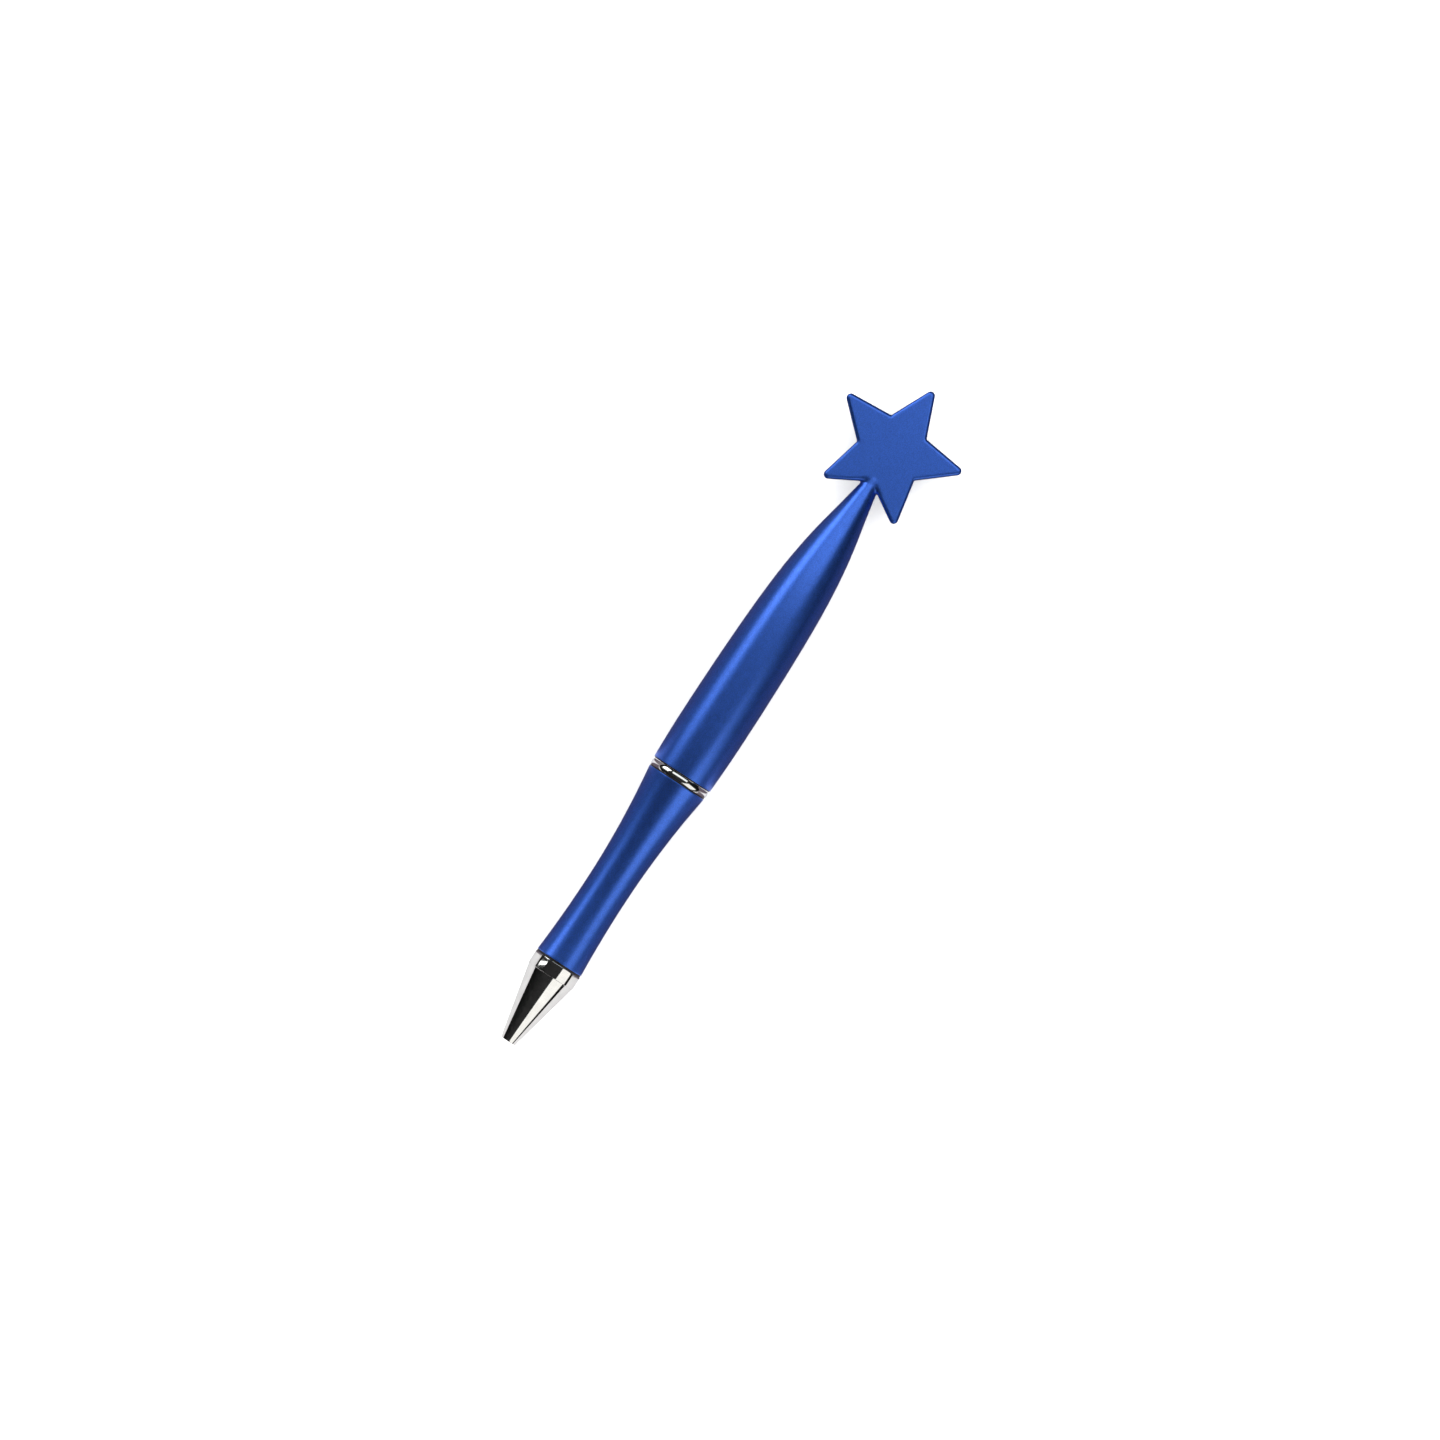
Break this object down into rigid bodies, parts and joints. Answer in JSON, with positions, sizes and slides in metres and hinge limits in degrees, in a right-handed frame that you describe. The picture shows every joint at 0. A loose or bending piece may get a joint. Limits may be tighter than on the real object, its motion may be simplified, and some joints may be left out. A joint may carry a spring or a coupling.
{
  "type": "twist ball pen",
  "caption": "Twist-action ball pen with a slim-waisted grip, a swelling upper barrel and a flat star on its end; the refill slides out as the upper barrel turns.",
  "frame": {"origin": "on the ground under the middle of the pen's length, with the pen lying on its side: the lowest point of the upper barrel's belly is at Z = 0", "axes": "+X along the pen from its nose to its star, +Z square to the star's upper face, +Y across the star; the pen's axis is at Z = 6.665 mm"},
  "size_m": [0.15, 0.0266, 0.0133],
  "materials": {
    "blue_lacquer": "satin",
    "chrome": "polished",
    "white_acetal": "satin",
    "black_acetal": "satin",
    "bright_steel": "polished",
    "brass": "satin",
    "clear_plastic": "gloss",
    "blue_ink": "gloss",
    "grease": "gloss"
  },
  "bodies": {
    "grip_assembly": {"nose_cone": "chrome", "grip_barrel": "blue_lacquer", "centre_ring": "chrome", "guide_tube": "white_acetal", "guide_cap": "white_acetal", "return_spring": "bright_steel"},
    "barrel_assembly": {"upper_barrel": "blue_lacquer", "star_topper": "blue_lacquer", "cam_sleeve": "black_acetal"},
    "refill": {"plunger": "white_acetal", "cross_pin": "bright_steel", "refill_tube": "clear_plastic", "spring_collar": "bright_steel", "refill_point": "brass", "ink_column": "blue_ink", "ink_seal": "grease"},
    "ball": {"writing_ball": "bright_steel"}
  },
  "joints": [
    {"name": "barrel_twist", "type": "hinge", "parent": "grip_assembly", "child": "barrel_assembly", "pos_m": [0, 0, 0.00666], "axis": [-1, 0, 0], "range_deg": [0, 180]},
    {"name": "refill_slide", "type": "slide", "parent": "grip_assembly", "child": "refill", "axis": [-1, 0, 0], "range_m": [0, 0.0048], "deforming": ["return_spring"]},
    {"name": "ball_roll", "type": "hinge", "parent": "refill", "child": "ball", "pos_m": [-0.0722, 0, 0.00666], "axis": [0, 1, 0], "continuous": true}
  ],
  "couplings": [
    {"joint": "refill_slide", "follows": "barrel_twist", "m_per_rad": 0.0015279}
  ]
}
